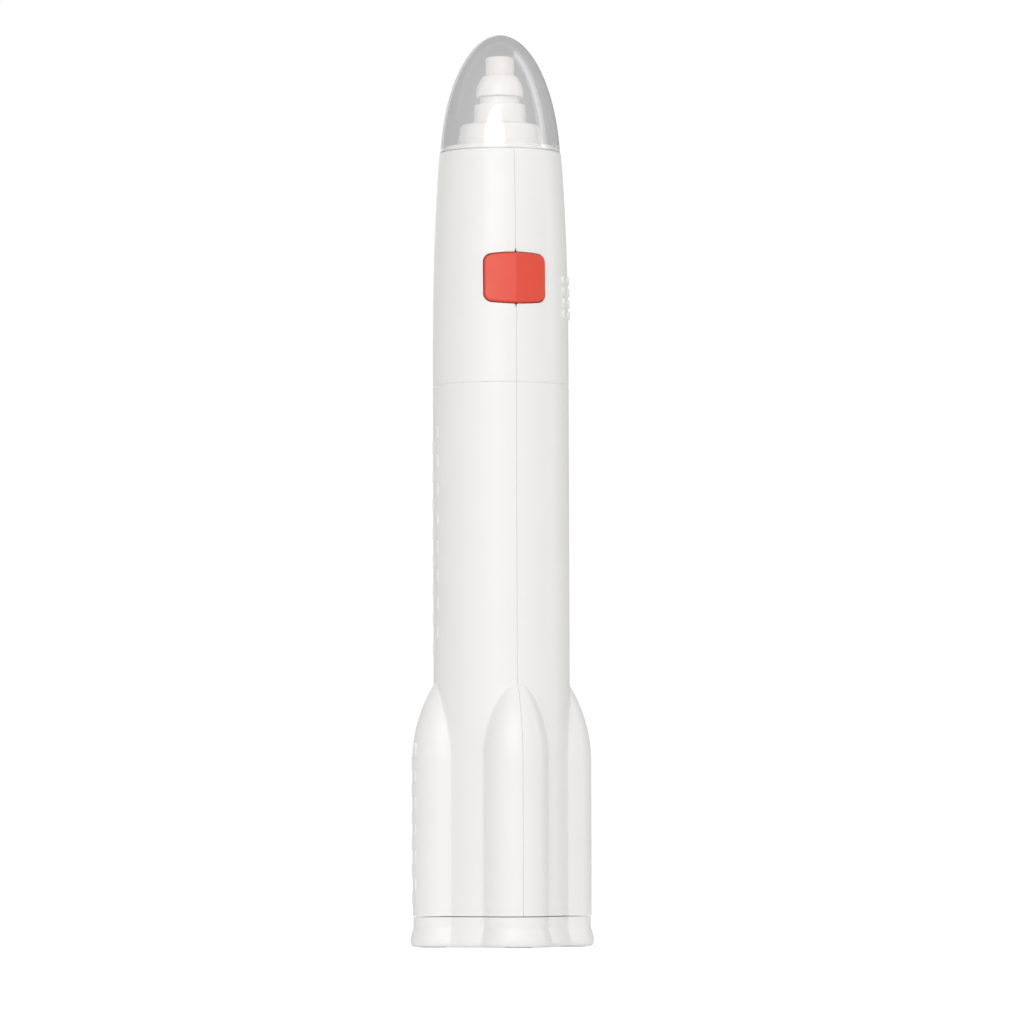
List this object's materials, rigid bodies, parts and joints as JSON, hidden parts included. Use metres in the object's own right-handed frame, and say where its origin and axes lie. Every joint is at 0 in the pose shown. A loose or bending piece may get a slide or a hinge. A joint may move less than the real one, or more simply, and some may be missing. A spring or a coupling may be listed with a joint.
{
  "type": "electric eraser",
  "caption": "Slim cordless eraser shaped like a rocket: white body with four boosters, red push button, clear nose cap over a motor-driven eraser chuck.",
  "frame": {"origin": "centre of the flat underside of the battery cover", "axes": "+Z along the spindle towards the eraser, -Y towards the button and the front seam, +X towards the shell with the grip dots"},
  "size_m": [0.0326, 0.0326, 0.16],
  "materials": {
    "white_plastic": "satin moulded",
    "red_plastic": "satin moulded",
    "clear_plastic": "clear, faint grey tint",
    "eraser_rubber": "matt vinyl eraser",
    "natural_plastic": "natural nylon",
    "black_plastic": "matt",
    "zinc_steel": "zinc plated",
    "shaft_steel": "ground",
    "sheet_brass": "rolled strip",
    "magnet_ferrite": "sintered",
    "core_steel": "stamped laminations",
    "copper_wire": "enamelled winding wire",
    "cell_jacket": "printed sleeve, plain",
    "board": "solder mask",
    "red_sleeve": "pvc insulation",
    "black_sleeve": "pvc insulation"
  },
  "bodies": {
    "housing": {"left_shell": "white_plastic", "right_shell": "white_plastic", "nose_bush": "white_plastic", "battery_tube": "natural_plastic", "bulkhead": "natural_plastic", "battery_lower": "cell_jacket", "battery_upper": "cell_jacket", "positive_contact": "sheet_brass", "return_strip": "sheet_brass", "switch_board": "board", "switch_leaf_fixed": "sheet_brass", "switch_leaf_moving": "sheet_brass", "motor_can": "zinc_steel", "motor_bearing": "sheet_brass", "motor_end_cap": "black_plastic", "motor_terminals": "sheet_brass", "motor_magnets": "magnet_ferrite", "motor_brushes": "sheet_brass", "wire_positive": "red_sleeve", "wire_switch": "black_sleeve", "wire_return": "black_sleeve"},
    "nose_cap": {"nose_cap": "clear_plastic"},
    "spindle": {"chuck_body": "white_plastic", "motor_shaft": "shaft_steel", "commutator": "copper_wire", "armature_core": "core_steel", "armature_windings": "copper_wire"},
    "clamp_nut": {"collet_nut": "white_plastic"},
    "refill": {"eraser_refill": "eraser_rubber"},
    "button": {"button": "red_plastic"},
    "battery_cover": {"base_cap": "white_plastic", "negative_plate": "sheet_brass", "negative_spring": "zinc_steel"}
  },
  "joints": [
    {"name": "cap_lift", "type": "slide", "parent": "housing", "child": "nose_cap", "axis": [0, 0, 1], "range_m": [0, 0.03]},
    {"name": "spindle_spin", "type": "hinge", "parent": "housing", "child": "spindle", "pos_m": [0, 0, 0.14], "axis": [0, 0, 1], "continuous": true},
    {"name": "nut_turn", "type": "hinge", "parent": "spindle", "child": "clamp_nut", "pos_m": [0, 0, 0.1505], "axis": [0, 0, 1], "range_deg": [0, 270]},
    {"name": "refill_slide", "type": "slide", "parent": "spindle", "child": "refill", "axis": [0, 0, 1], "range_m": [-0.0055, 0.0014]},
    {"name": "button_press", "type": "slide", "parent": "housing", "child": "button", "axis": [0, 1, 0], "range_m": [0, 0.0008], "stiffness_N_per_m": 800, "springref_m": -0.0008, "deforming": ["switch_leaf_moving"]},
    {"name": "battery_cover_pull", "type": "slide", "parent": "housing", "child": "battery_cover", "axis": [0, 0, -1], "range_m": [0, 0.02]}
  ]
}
